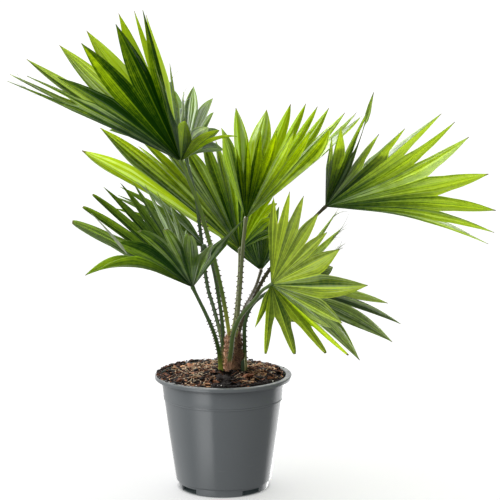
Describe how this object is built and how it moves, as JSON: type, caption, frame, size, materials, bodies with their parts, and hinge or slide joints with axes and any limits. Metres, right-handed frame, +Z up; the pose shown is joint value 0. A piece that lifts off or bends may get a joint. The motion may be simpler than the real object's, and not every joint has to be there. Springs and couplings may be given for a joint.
{
  "type": "potted fan palm",
  "caption": "Young fan palm with pleated, deeply cut leaf blades on spiny stalks, growing from a short fibrous trunk in a soil-filled round plastic nursery pot",
  "frame": {"origin": "middle of the pot's underside, at the level of its feet", "axes": "+Z up, +X to the right and +Y away from the viewer as the plant is pictured"},
  "size_m": [0.5967, 0.3945, 0.5931],
  "materials": {
    "pot_plastic": "satin mid-grey moulded plastic",
    "soil": "dark potting mix with bark chips",
    "trunk_fibre": "rough brown fibre",
    "old_stalk": "dull dark green with a dry strip",
    "leaf_mid": "satin green leaf",
    "leaf_dark": "satin dark green leaf",
    "leaf_bright": "satin yellow-green leaf",
    "leaf_light": "satin light green leaf",
    "leaf_grey": "satin grey-green leaf"
  },
  "bodies": {
    "root": {"pot": "pot_plastic", "soil": "soil", "trunk": "trunk_fibre", "old_stub": "old_stalk", "frond_upper_left": "leaf_mid", "frond_back_left": "leaf_dark", "frond_centre_back": "leaf_bright", "frond_centre_front": "leaf_bright", "frond_lower_left": "leaf_dark", "frond_left_back": "leaf_dark", "frond_right_front": "leaf_light", "frond_low_right": "leaf_grey", "frond_right_back": "leaf_dark", "frond_far_right": "leaf_mid"}
  },
  "joints": []
}
